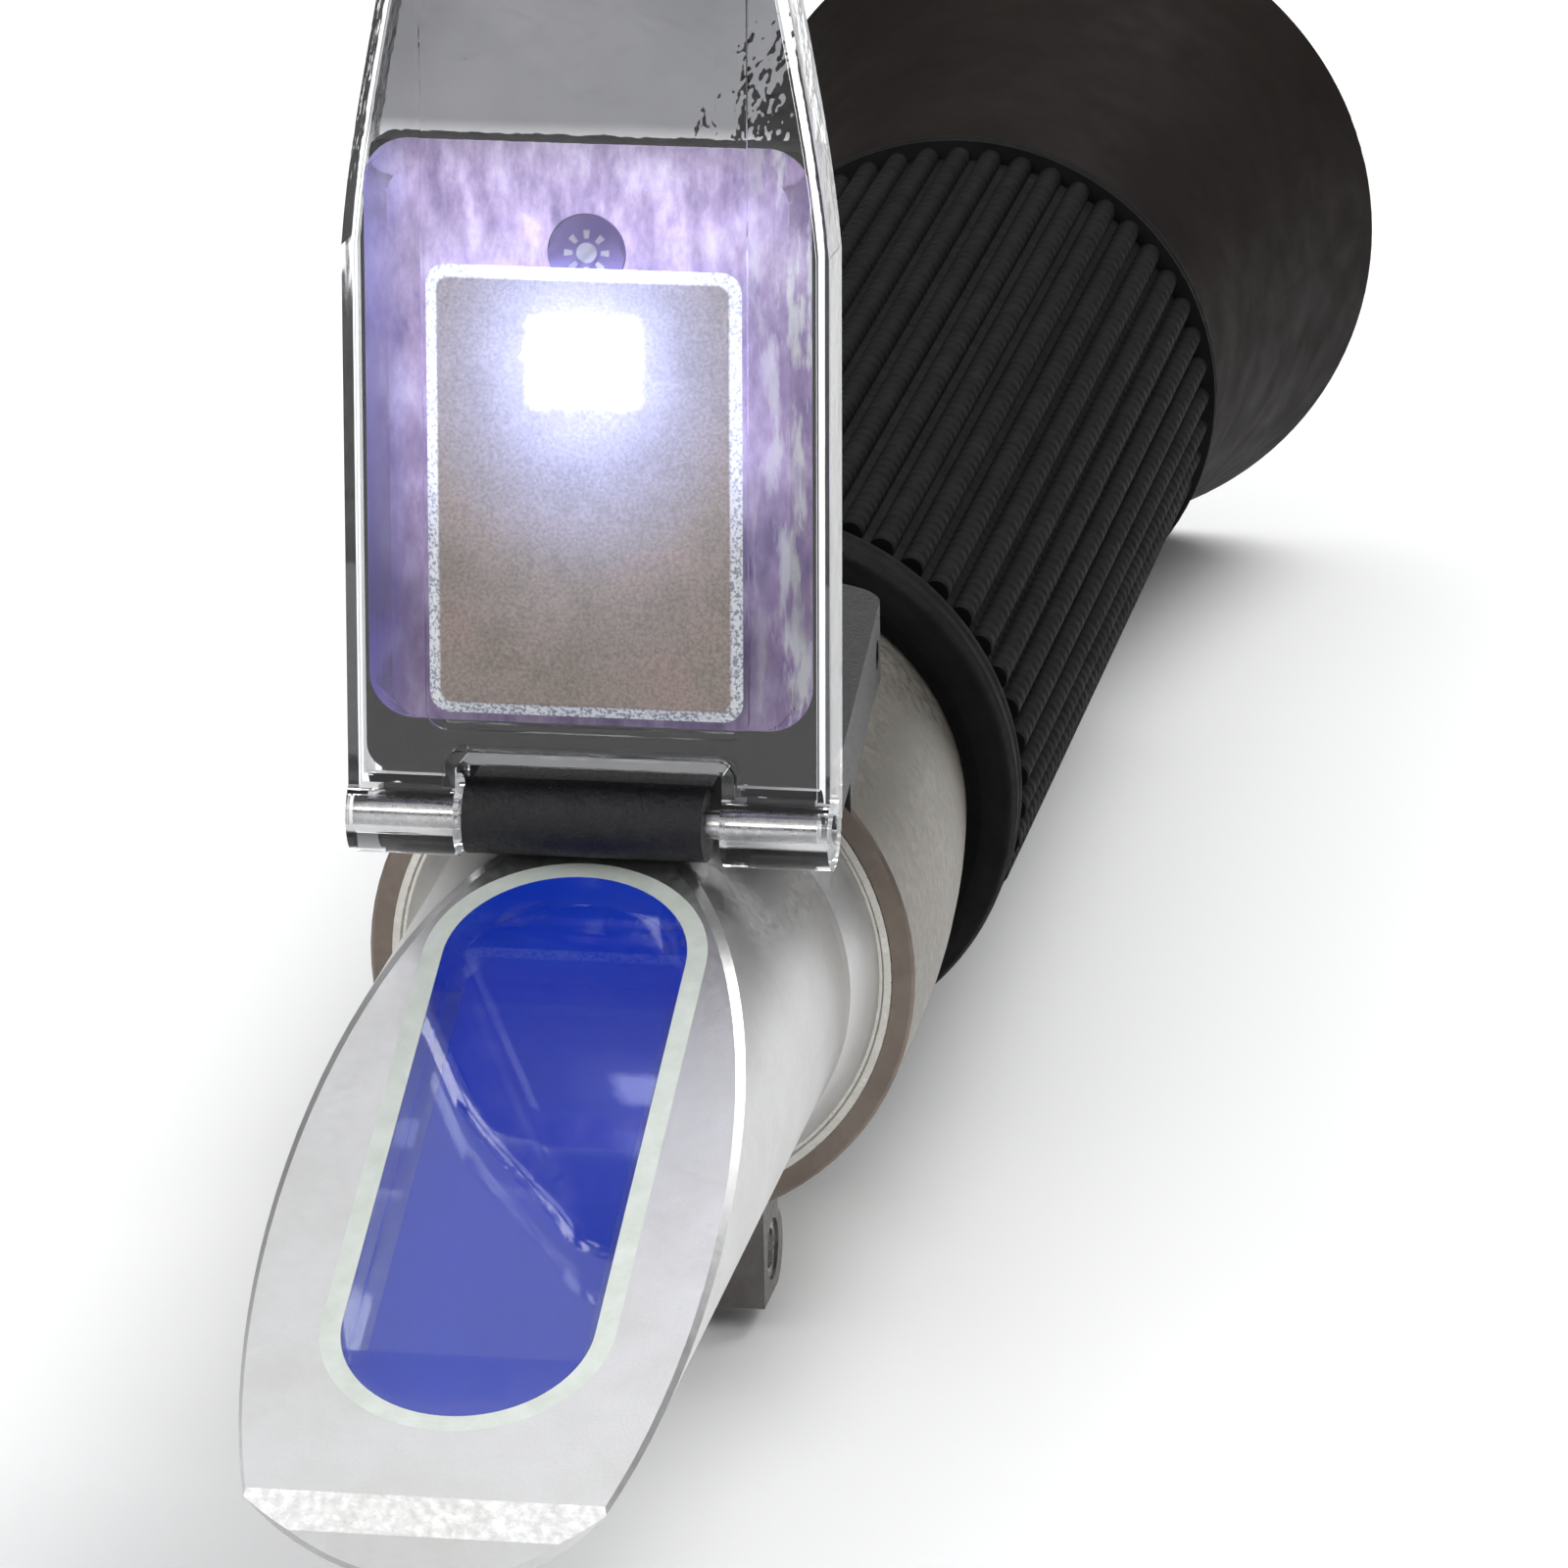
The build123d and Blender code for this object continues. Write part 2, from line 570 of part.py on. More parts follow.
HOUSING_HALF = 10.1
HOUSING_START = 1.97
HOUSING_DEPTH = 2.8
CAVITY_DEPTH = 2.2
CAVITY_HALF = 8.9
CAVITY_END = 29.2
SKIRT_FRONT_Y = 1.95        # two lips behind the clear lugs
SKIRT_BACK_Y = 2.45
SKIRT_START_X = 6.65
SKIRT_END_X = 9.7
housing_back_y = lamp_front_y + HOUSING_DEPTH
cavity_back_y = lamp_front_y + CAVITY_DEPTH

housing_outline = rounded(HOUSING_HALF, HOUSING_START, LABEL_END - 0.1, 1.2)
housing = upright(housing_outline, lamp_front_y, housing_back_y)
housing = chamfer(housing.faces().sort_by(Axis.Y)[-1].edges(), 0.5)
housing &= upright(flap_outline(WALL + 0.1), lamp_front_y, housing_back_y)
housing -= upright(rounded(CAVITY_HALF, LABEL_START, CAVITY_END, 1.4), lamp_front_y - 1, cavity_back_y)
for side in (-1, 1):
    skirt_limits = sorted((side * SKIRT_START_X, side * SKIRT_END_X))
    housing += block(*skirt_limits, SKIRT_FRONT_Y, SKIRT_BACK_Y, -0.3, HOUSING_START + 0.6)

CAP_R = 3.5
CAP_FLANGE_R = 4.0
cap_flange_y = cavity_back_y + 0.05
housing -= upright(Pos(0, BUTTON_Z) * Circle(CAP_R + 0.05), lamp_front_y, housing_back_y + 1)
housing -= upright(Pos(0, BUTTON_Z) * Circle(CAP_FLANGE_R + 0.1), lamp_front_y, cavity_back_y + 0.35)
save(flap_place * housing, "lamp_housing")

BOARD_THICKNESS = 0.4
board_y = lamp_front_y + 1.25
board = upright(rounded(8.6, LABEL_START + 0.4, CAVITY_END - 0.4, 1.2), board_y, board_y + BOARD_THICKNESS)
save(flap_place * board, "lamp_board")

CELL_Z = 12.3
COIN_R = 6.25
coin = upright(Pos(0, CELL_Z) * Circle(COIN_R), lamp_front_y + 0.1, board_y)
save(flap_place * coin, "coin_cell")
holder_ring = Circle(COIN_R + 0.35) - Circle(COIN_R + 0.05)
holder_ring -= Pos(0, 6) * Rectangle(6, 6)
holder = upright(Pos(0, CELL_Z) * holder_ring, lamp_front_y + 0.45, board_y)
save(flap_place * holder, "cell_holder")

LED_DEPTH = 0.25            # the phosphor lies this far behind the front of the lamp
phosphor_front_y = lamp_front_y + LED_DEPTH
phosphor_back_y = phosphor_front_y + 0.6
led_outline = Pos(0, LED_Z) * Rectangle(2 * LED_HALF_X, 2 * LED_HALF_Z)
phosphor_outline = Pos(0, LED_Z) * RectangleRounded(2 * LED_HALF_X - 0.6, 2 * LED_HALF_Z - 0.6, 0.6)
led_case = upright(led_outline, lamp_front_y + 0.15, board_y)
led_case -= upright(phosphor_outline, lamp_front_y, phosphor_back_y)
save(flap_place * led_case, "led_case")
save(flap_place * upright(phosphor_outline, phosphor_front_y, phosphor_back_y), "led_phosphor")

button_middle = Pos(0, BUTTON_Z)
dome_y = board_y + BOARD_THICKNESS
DOME_HEIGHT = 0.3
dome = upright(button_middle * Circle(1.8), dome_y, dome_y + DOME_HEIGHT)
save(flap_place * dome, "switch_dome")

button = upright(button_middle * Circle(1.2), dome_y + DOME_HEIGHT + 0.02, cap_flange_y)
button += upright(button_middle * Circle(CAP_FLANGE_R), cap_flange_y, cap_flange_y + 0.25)
cap = upright(button_middle * Circle(CAP_R), cap_flange_y + 0.25, housing_back_y + 0.6)
cap = fillet(cap.faces().sort_by(Axis.Y)[-1].edges(), 0.3)
button += cap
save(flap_place * button, "push_button")
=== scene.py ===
"""Looks of the handheld refractometer: materials, camera, lights and a pale floor.

Metres, in the frame of the CAD model. Y runs along the body, Z is up, X is to the right.
"""
import json
import math

import bpy
from mathutils import Matrix, Vector


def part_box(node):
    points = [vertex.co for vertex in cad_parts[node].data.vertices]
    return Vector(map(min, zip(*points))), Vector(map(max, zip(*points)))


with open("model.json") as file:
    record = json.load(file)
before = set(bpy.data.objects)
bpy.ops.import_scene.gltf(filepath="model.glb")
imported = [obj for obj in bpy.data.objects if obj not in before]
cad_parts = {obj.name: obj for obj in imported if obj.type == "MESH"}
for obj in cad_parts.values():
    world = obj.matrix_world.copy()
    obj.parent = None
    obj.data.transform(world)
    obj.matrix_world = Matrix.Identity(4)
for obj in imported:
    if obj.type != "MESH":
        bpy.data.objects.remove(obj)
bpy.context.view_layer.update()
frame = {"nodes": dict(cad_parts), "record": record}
MM = 0.001

# ---------------------------------------------------------------- node helpers


class Shader:
    """A material with one Principled shader and short calls to build its nodes."""

    def __init__(self, name, color, roughness, metallic=0.0, **sockets):
        self.material = bpy.data.materials.new(name)
        self.material.use_nodes = True
        self.tree = self.material.node_tree
        self.shader = self.tree.nodes["Principled BSDF"]
        self.output = self.tree.nodes["Material Output"]
        self.set("Base Color", (*color, 1.0))
        self.set("Roughness", roughness)
        self.set("Metallic", metallic)
        for socket, value in sockets.items():
            self.set(socket.replace("_", " "), value)

    def set(self, socket, value):
        self.shader.inputs[socket].default_value = value

    def link(self, source, socket):
        self.tree.links.new(source, self.shader.inputs[socket])

    def node(self, kind, **inputs):
        node = self.tree.nodes.new(kind)
        for name, value in inputs.items():
            socket = node.inputs[name.replace("_", " ")]
            if isinstance(value, bpy.types.NodeSocket):
                self.tree.links.new(value, socket)
            else:
                socket.default_value = value
        return node

    def place(self, stretch=(1, 1, 1)):
        """Position on the object in metres, scaled along each axis."""
        coordinates = self.node("ShaderNodeTexCoord")
        mapping = self.node("ShaderNodeMapping", Vector=coordinates.outputs["Object"])
        mapping.inputs["Scale"].default_value = stretch
        return mapping.outputs["Vector"]

    def noise(self, size, detail=4.0, roughness=0.55, stretch=(1, 1, 1)):
        """Noise with features of about the given size in metres."""
        node = self.node(
            "ShaderNodeTexNoise",
            Vector=self.place(stretch),
            Scale=1.0 / size,
            Detail=detail,
            Roughness=roughness,
        )
        return node.outputs["Fac"]

    def ramp(self, value, low, high, start=0.0, end=1.0):
        """Map a value from start..end to low..high, clamped."""
        node = self.node("ShaderNodeMapRange")
        self.tree.links.new(value, node.inputs["Value"])
        node.inputs["From Min"].default_value = start
        node.inputs["From Max"].default_value = end
        node.inputs["To Min"].default_value = low
        node.inputs["To Max"].default_value = high
        return node.outputs["Result"]

    def colors(self, value, stops):
        """Color ramp from (position, (r, g, b)) stops."""
        node = self.tree.nodes.new("ShaderNodeValToRGB")
        self.tree.links.new(value, node.inputs["Fac"])
        elements = node.color_ramp.elements
        while len(elements) < len(stops):
            elements.new(0.5)
        for element, (position, color) in zip(elements, stops):
            element.position = position
            element.color = (*color, 1.0)
        return node.outputs["Color"]

    def blend(self, share, first, second):
        """First color where the share is 0, second where it is 1."""
        node = self.tree.nodes.new("ShaderNodeMix")
        node.data_type = "RGBA"
        factor, color_a, color_b = node.inputs[0], node.inputs[6], node.inputs[7]
        for socket, value in ((factor, share), (color_a, first), (color_b, second)):
            if isinstance(value, bpy.types.NodeSocket):
                self.tree.links.new(value, socket)
            else:
                socket.default_value = (*value, 1.0)
        return node.outputs[2]

    def math(self, operation, first, second=0.0):
        node = self.tree.nodes.new("ShaderNodeMath")
        node.operation = operation
        for socket, value in zip(node.inputs, (first, second)):
            if isinstance(value, bpy.types.NodeSocket):
                self.tree.links.new(value, socket)
            else:
                socket.default_value = value
        return node.outputs["Value"]

    def bump(self, height, depth, strength=1.0):
        """Bump of the given real depth in metres, added after any earlier bump."""
        node = self.node("ShaderNodeBump", Strength=strength, Distance=depth, Height=height)
        earlier = self.shader.inputs["Normal"].links
        if earlier:
            self.tree.links.new(earlier[0].from_socket, node.inputs["Normal"])
        self.link(node.outputs["Normal"], "Normal")

    def wear(self, size, low, high):
        """Uneven roughness."""
        self.link(self.ramp(self.noise(size, 6.0), low, high, 0.3, 0.7), "Roughness")

    def tint(self, size, dark, light, stretch=(1, 1, 1)):
        """Uneven base color."""
        value = self.noise(size, 6.0, 0.6, stretch)
        self.link(self.colors(value, [(0.3, dark), (0.7, light)]), "Base Color")


def assign(material, *nodes):
    """Give CAD nodes a material."""
    for name in nodes:
        slots = frame["nodes"][name].data.materials
        slots.clear()
        slots.append(material)


# ---------------------------------------------------------------- metals
blasted = Shader("head_metal", (0.50, 0.50, 0.49), 0.42, 1.0)
blasted.tint(5 * MM, (0.60, 0.60, 0.585), (0.68, 0.68, 0.69))
blasted.wear(0.4 * MM, 0.34, 0.46)
blasted.bump(blasted.noise(0.16 * MM, 3.0), 0.007 * MM)
blasted.bump(blasted.noise(1.4 * MM, 2.0), 0.004 * MM)
assign(blasted.material, "prism_head")

tube_front_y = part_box("main_tube")[0][1]
satin = Shader("tube_metal", (0.30, 0.28, 0.25), 0.42, 1.0)
satin_grain = satin.noise(3 * MM, 6.0)
satin_color = satin.colors(satin_grain, [(0.3, (0.22, 0.205, 0.178)), (0.7, (0.245, 0.227, 0.197))])
# the front face of the tube is darker: painted shade
painted_shade_front_face = satin.ramp(
    satin.node("ShaderNodeSeparateXYZ", Vector=satin.place()).outputs["Y"],
    1.0, 0.0, tube_front_y + 0.1 * MM, tube_front_y + 0.2 * MM,
)
painted_shade_face_color = satin.colors(satin_grain, [(0.3, (0.17, 0.14, 0.12)), (0.7, (0.24, 0.20, 0.17))])
satin.link(satin.blend(painted_shade_front_face, satin_color, painted_shade_face_color), "Base Color")
satin.wear(0.5 * MM, 0.36, 0.5)
satin.bump(satin.noise(0.14 * MM, 3.0), 0.006 * MM)
assign(satin.material, "main_tube")

turned = Shader("lock_ring_metal", (0.62, 0.60, 0.55), 0.3, 1.0)
turned.tint(1 * MM, (0.56, 0.54, 0.49), (0.66, 0.64, 0.60))
turned.wear(0.3 * MM, 0.24, 0.36)
turned.bump(turned.noise(0.08 * MM, 2.0, stretch=(1, 8, 1)), 0.003 * MM)
assign(turned.material, "lock_ring")

steel = Shader("steel", (0.62, 0.61, 0.60), 0.28, 1.0)
steel.tint(0.8 * MM, (0.52, 0.51, 0.50), (0.68, 0.67, 0.66))
steel.wear(0.3 * MM, 0.2, 0.4)
steel.bump(steel.noise(0.1 * MM, 3.0, stretch=(0.2, 1, 1)), 0.003 * MM)
assign(
    steel.material,
    "hinge_pin", "saddle_set_screws", "foot_pin", "strip_screw",
    "cell_holder", "coin_cell", "objective_spring", "switch_dome",
)

lug = Shader("lug_metal", (0.16, 0.15, 0.145), 0.4, 1.0)
lug.tint(1.5 * MM, (0.13, 0.12, 0.115), (0.19, 0.18, 0.17))
lug.wear(0.4 * MM, 0.34, 0.52)
lug.bump(lug.noise(0.15 * MM, 3.0), 0.006 * MM)
assign(lug.material, "foot_lug")

brass = Shader("brass", (0.74, 0.56, 0.27), 0.3, 1.0)
brass.tint(1.2 * MM, (0.64, 0.47, 0.21), (0.78, 0.61, 0.32))
brass.wear(0.4 * MM, 0.22, 0.42)
brass.bump(brass.noise(0.1 * MM, 2.0, stretch=(1, 6, 1)), 0.003 * MM)
assign(brass.material, "calibration_screw", "objective_cell", "bimetal_strip", "guide_ring")

black_metal = Shader("black_metal", (0.02, 0.02, 0.021), 0.5, 0.6)
black_metal.tint(1.5 * MM, (0.014, 0.014, 0.015), (0.03, 0.03, 0.031))
black_metal.wear(0.4 * MM, 0.42, 0.6)
black_metal.bump(black_metal.noise(0.12 * MM, 3.0), 0.005 * MM)
assign(
    black_metal.material,
    "objective_ring", "spring_stop", "baffle_ring", "reticle_seat", "reticle_ring",
    "focus_barrel", "barrel_nut", "field_ring", "eye_lens_ring",
)

# ---------------------------------------------------------------- prism and its seal
glass = Shader(
    "prism_glass", (0.72, 0.80, 0.95), 0.015,
    Transmission_Weight=1.0, IOR=1.58, Specular_IOR_Level=0.3,
)
glass.tint(8 * MM, (0.80, 0.86, 0.97), (0.86, 0.91, 0.99))
glass.wear(3 * MM, 0.008, 0.03)
glass.bump(glass.noise(2.5 * MM, 2.0), 0.0012 * MM)
assign(glass.material, "prism")

mask = Shader("prism_blue", (0.0, 0.045, 0.50), 0.35, Specular_IOR_Level=0.3)
mask.tint(7 * MM, (0.0, 0.035, 0.40), (0.0, 0.050, 0.50))
# painted light: the blue mask glows faintly though it is no lamp
mask.set("Emission Color", (0.0, 0.03, 0.42, 1.0))
mask.set("Emission Strength", 0.5)
mask.wear(1 * MM, 0.3, 0.45)
mask.bump(mask.noise(0.4 * MM, 3.0), 0.01 * MM)
assign(mask.material, "prism_mask")

ivory = Shader("seal_ivory", (0.66, 0.71, 0.67), 0.38, Subsurface_Weight=0.2)
ivory.set("Subsurface Radius", (1 * MM, 0.8 * MM, 0.5 * MM))
ivory.tint(1.2 * MM, (0.60, 0.65, 0.59), (0.72, 0.76, 0.72))
ivory.wear(0.6 * MM, 0.3, 0.48)
ivory.bump(ivory.noise(0.3 * MM, 3.0), 0.012 * MM)
assign(ivory.material, "prism_seal")

lens = Shader("lens_glass", (0.93, 0.97, 0.96), 0.01, Transmission_Weight=1.0, IOR=1.52)
lens.tint(6 * MM, (0.90, 0.95, 0.95), (0.95, 0.98, 0.97))
lens.wear(2 * MM, 0.005, 0.02)
lens.bump(lens.noise(3 * MM, 2.0), 0.001 * MM)
assign(lens.material, "objective_lens", "reticle", "field_lens", "eye_lens")

# ---------------------------------------------------------------- black plastics and rubber
saddle = Shader("saddle_black", (0.009, 0.009, 0.010), 0.36, Specular_IOR_Level=0.35)
saddle.tint(0.8 * MM, (0.005, 0.005, 0.006), (0.013, 0.013, 0.015))
saddle.wear(0.25 * MM, 0.24, 0.48)
saddle.bump(saddle.noise(0.32 * MM, 4.0, 0.75), 0.10 * MM)
assign(saddle.material, "hinge_saddle")

grip = Shader("grip_rubber", (0.012, 0.012, 0.012), 0.7, Specular_IOR_Level=0.05)
grip.tint(2.5 * MM, (0.005, 0.005, 0.005), (0.009, 0.009, 0.0095))
grip.wear(0.7 * MM, 0.6, 0.8)
serration = grip.node("ShaderNodeTexWave", Vector=grip.place(), Scale=1.0 / (3.6 * MM))
serration.bands_direction = "Y"
serration.inputs["Distortion"].default_value = 0.4
serration.inputs["Detail"].default_value = 1.0
grip.bump(serration.outputs["Fac"], 0.10 * MM)
grip.bump(grip.noise(0.2 * MM, 3.0), 0.02 * MM)
assign(grip.material, "grip_sleeve")

cup = Shader("cup_rubber", (0.012, 0.009, 0.0075), 0.65, Specular_IOR_Level=0.06)
cup.tint(6 * MM, (0.0065, 0.0045, 0.0035), (0.010, 0.0070, 0.0058))
cup.wear(2.5 * MM, 0.58, 0.72)
cup.bump(cup.noise(0.2 * MM, 4.0), 0.015 * MM)
assign(cup.material, "eyecup", "screw_plug")

lamp_shell = Shader("lamp_black", (0.010, 0.008, 0.009), 0.5, Specular_IOR_Level=0.15)
lamp_shell.tint(2 * MM, (0.007, 0.005, 0.006), (0.014, 0.010, 0.012))
lamp_shell.wear(0.5 * MM, 0.42, 0.6)
lamp_shell.bump(lamp_shell.noise(0.2 * MM, 3.0), 0.01 * MM)
assign(lamp_shell.material, "lamp_housing")

button = Shader("button_grey", (0.20, 0.20, 0.22), 0.4)
button.tint(1.5 * MM, (0.17, 0.17, 0.19), (0.24, 0.24, 0.26))
button.wear(0.4 * MM, 0.32, 0.5)
button.bump(button.noise(0.15 * MM, 3.0), 0.01 * MM)
assign(button.material, "push_button")

board = Shader("board_green", (0.03, 0.16, 0.07), 0.35)
board.tint(1.0 * MM, (0.02, 0.12, 0.05), (0.04, 0.19, 0.09))
board.wear(0.4 * MM, 0.28, 0.42)
board.bump(board.noise(0.3 * MM, 2.0), 0.01 * MM)
assign(board.material, "lamp_board")

led_case = Shader("led_white", (0.86, 0.87, 0.88), 0.4)
led_case.tint(0.5 * MM, (0.82, 0.83, 0.84), (0.90, 0.90, 0.91))
led_case.wear(0.3 * MM, 0.32, 0.48)
led_case.bump(led_case.noise(0.2 * MM, 2.0), 0.008 * MM)
assign(led_case.material, "led_case")

# ---------------------------------------------------------------- daylight plate
glow = Shader("led_glow", (0.95, 0.97, 1.0), 0.4, Emission_Strength=25.0)
glow.tint(0.6 * MM, (0.9, 0.93, 1.0), (1.0, 1.0, 1.0))
glow.set("Emission Color", (0.86, 0.92, 1.0, 1.0))
glow.bump(glow.noise(0.3 * MM, 2.0), 0.01 * MM)
assign(glow.material, "led_phosphor")

hinge = next(j for j in frame["record"]["behaviour"]["joints"] if j["name"] == "daylight_plate_hinge")
HINGE_PLACE = Vector(hinge["pos_m"])
FLAP_TILT = math.radians(4.24)
FLAP_SHIFT = 0.24 * MM


def flap_place(shader):
    """Position on the plate in metres: across, depth from the hinge axis, height above it."""
    place = shader.node("ShaderNodeSeparateXYZ", Vector=shader.place())
    across = shader.math("SUBTRACT", place.outputs["X"], FLAP_SHIFT)
    back = shader.math("SUBTRACT", place.outputs["Y"], HINGE_PLACE.y)
    up = shader.math("SUBTRACT", place.outputs["Z"], HINGE_PLACE.z)
    depth = shader.math(
        "SUBTRACT",
        shader.math("MULTIPLY", back, math.cos(FLAP_TILT)),
        shader.math("MULTIPLY", up, math.sin(FLAP_TILT)),
    )
    height = shader.math(
        "ADD",
        shader.math("MULTIPLY", back, math.sin(FLAP_TILT)),
        shader.math("MULTIPLY", up, math.cos(FLAP_TILT)),
    )
    return across, depth, height


LED_UP = 20.95 * MM         # height of the lamp above the hinge
PAD_TOP = 24.5 * MM
LABEL_TOP = 30.4 * MM
WEB_FRONT = -1.12 * MM      # depths of the plate's web and of the box round the lamp
WEB_BACK = -0.2 * MM
BOX_BACK = -1.3 * MM
BEVEL_FRONT = -1.70 * MM    # depths between which the pad's bevel starts
BEVEL_BACK = -1.64 * MM
CORE_HALF_WIDTH = 1.9 * MM  # lit core of the lamp behind the pad
CORE_HALF_HEIGHT = 1.4 * MM
CORE_FADE = 0.8 * MM
MARK_CORE = 0.45 * MM       # radii of the sun mark: its core, and its rays
RAY_START = 0.62 * MM
RAY_END = 1.0 * MM
RAYS = 8.0


def lamp_distance(shader, across, height, stretch=1.0):
    """Distance from the middle of the lamp, heights counted stretch times."""
    up = shader.math("MULTIPLY", shader.math("SUBTRACT", height, LED_UP), stretch)
    squares = shader.math(
        "ADD",
        shader.math("MULTIPLY", across, across),
        shader.math("MULTIPLY", up, up),
    )
    return shader.math("SQRT", squares)


clear = Shader(
    "plate_clear", (0.97, 0.975, 0.985), 0.03,
    Transmission_Weight=1.0, IOR=1.45, Specular_IOR_Level=0.2,
)
clear_x, clear_y, clear_z = flap_place(clear)
in_web = clear.math("MULTIPLY", clear.math("GREATER_THAN", clear_y, WEB_FRONT),
                    clear.math("LESS_THAN", clear_y, WEB_BACK))
in_box = clear.math("LESS_THAN", clear_y, BOX_BACK)
above_lamp = clear.ramp(clear_z, 0.0, 1.0, LABEL_TOP - 1 * MM, LABEL_TOP + 1 * MM)
# painted shade: a grey tint above the lamp stands for the grey backdrop seen through the plate
painted_backdrop_shade = clear.math("MULTIPLY", clear.math("MAXIMUM", in_web, in_box), above_lamp)
haze = clear.noise(9 * MM, 6.0)
bright_tint = clear.colors(haze, [(0.3, (0.95, 0.96, 0.98)), (0.7, (0.985, 0.985, 0.99))])
painted_backdrop_tint = clear.colors(haze, [(0.3, (0.17, 0.17, 0.18)), (0.7, (0.25, 0.25, 0.265))])
clear.link(clear.blend(painted_backdrop_shade, bright_tint, painted_backdrop_tint), "Base Color")
clear.wear(2.5 * MM, 0.015, 0.06)
above_pad = clear.ramp(clear_z, 0.0, 1.0, PAD_TOP + 1 * MM, PAD_TOP + 5 * MM)
peel = clear.math("MULTIPLY", clear.noise(1.1 * MM, 2.0, 0.5), above_pad)
clear.bump(peel, 0.05 * MM)
clear.bump(clear.noise(4 * MM, 2.0), 0.02 * MM)
assign(clear.material, "daylight_plate")

frosted = Shader("pad_frosted", (0.42, 0.36, 0.33), 0.42, Transmission_Weight=0.25, IOR=1.45)
pad_x, pad_y, pad_z = flap_place(frosted)
grain = frosted.noise(0.16 * MM, 3.0, 0.6)
mottle = frosted.noise(3.0 * MM, 5.0, 0.6)
brown = frosted.colors(mottle, [
    (0.30, (0.36, 0.31, 0.26)),
    (0.50, (0.44, 0.37, 0.33)),
    (0.70, (0.50, 0.38, 0.35)),
])
# violet near the lamp is painted lamp light; the pad is brown further out
painted_lamp_violet = frosted.colors(mottle, [(0.30, (0.42, 0.41, 0.58)), (0.70, (0.56, 0.56, 0.78))])
painted_lamp_light_share = frosted.ramp(lamp_distance(frosted, pad_x, pad_z, 0.75), 1.0, 0.0, 3.5 * MM, 7.5 * MM)
pad_color = frosted.blend(painted_lamp_light_share, brown, painted_lamp_violet)
speckle = frosted.colors(grain, [(0.35, (0.55, 0.55, 0.55)), (0.65, (1.0, 1.0, 1.0))])
tinted = frosted.tree.nodes.new("ShaderNodeMix")
tinted.data_type = "RGBA"
tinted.blend_type = "MULTIPLY"
tinted.inputs[0].default_value = 0.8
frosted.tree.links.new(pad_color, tinted.inputs[6])
frosted.tree.links.new(speckle, tinted.inputs[7])
on_bevel = frosted.ramp(pad_y, 0.0, 1.0, BEVEL_FRONT, BEVEL_BACK)
sparkle = frosted.colors(grain, [(0.42, (0.30, 0.34, 0.42)), (0.52, (0.95, 0.96, 1.0))])
frosted.link(frosted.blend(on_bevel, tinted.outputs[2], sparkle), "Base Color")
frosted.wear(0.2 * MM, 0.32, 0.52)
frosted.bump(grain, 0.05 * MM)
frosted.bump(frosted.noise(0.45 * MM, 2.0), 0.04 * MM)


def falloff(value, half, fade):
    """1 within half of the middle, down to 0 over the fade."""
    return frosted.ramp(frosted.math("ABSOLUTE", value), 1.0, 0.0, half, half + fade)


# the pad's emission is painted light from the lamp behind it: a ragged core, a halo, a wide fade and a
# glow on the bevel
ragged = frosted.math("MULTIPLY", frosted.math("SUBTRACT", frosted.noise(0.5 * MM, 3.0), 0.5), 0.9 * MM)
lamp_x = frosted.math("ADD", pad_x, ragged)
lamp_z = frosted.math("ADD", frosted.math("SUBTRACT", pad_z, LED_UP), ragged)
core = frosted.math(
    "MULTIPLY",
    falloff(lamp_x, CORE_HALF_WIDTH, CORE_FADE),
    falloff(lamp_z, CORE_HALF_HEIGHT, CORE_FADE),
)
core = frosted.math("MULTIPLY", core, 2.5)
halo = frosted.ramp(lamp_distance(frosted, pad_x, pad_z), 0.30, 0.0, 2.0 * MM, 5.0 * MM)
wide = frosted.ramp(lamp_distance(frosted, pad_x, pad_z, 0.7), 0.18, 0.0, 2.0 * MM, 10.0 * MM)
bevel_light = frosted.math("MULTIPLY", on_bevel, frosted.ramp(
    lamp_distance(frosted, pad_x, pad_z), 0.8, 0.0, 5.0 * MM, 10.5 * MM))
glow_sum = frosted.math("ADD", frosted.math("ADD", core, halo), frosted.math("ADD", wide, bevel_light))
frosted.link(glow_sum, "Emission Strength")
frosted.set("Emission Color", (0.72, 0.76, 1.0, 1.0))
assign(frosted.material, "diffuser_pad")

lavender = Shader("adhesive_lavender", (0.72, 0.70, 0.86), 0.5)
label_x, label_y, label_z = flap_place(lavender)
patches = lavender.noise(2.0 * MM, 6.0, 0.68, stretch=(1.3, 1, 0.55))
mottled = lavender.colors(patches, [
    (0.34, (0.22, 0.12, 0.44)),
    (0.50, (0.44, 0.27, 0.58)),
    (0.62, (0.62, 0.48, 0.76)),
    (0.74, (0.88, 0.84, 0.96)),
])
left_edge = lavender.ramp(label_x, 1.0, 0.0, -9.6 * MM, -7.8 * MM)
violet_edge = lavender.blend(left_edge, mottled, (0.22, 0.17, 0.72))
upright = lavender.noise(0.7 * MM, 4.0, 0.6, stretch=(1, 1, 0.18))
right_edge = lavender.ramp(label_x, 0.0, 1.0, 6.6 * MM, 8.6 * MM)
streaks = lavender.math("MULTIPLY", lavender.ramp(upright, 0.0, 1.0, 0.50, 0.60), right_edge)
lavender.link(lavender.blend(streaks, violet_edge, (0.93, 0.92, 0.97)), "Base Color")
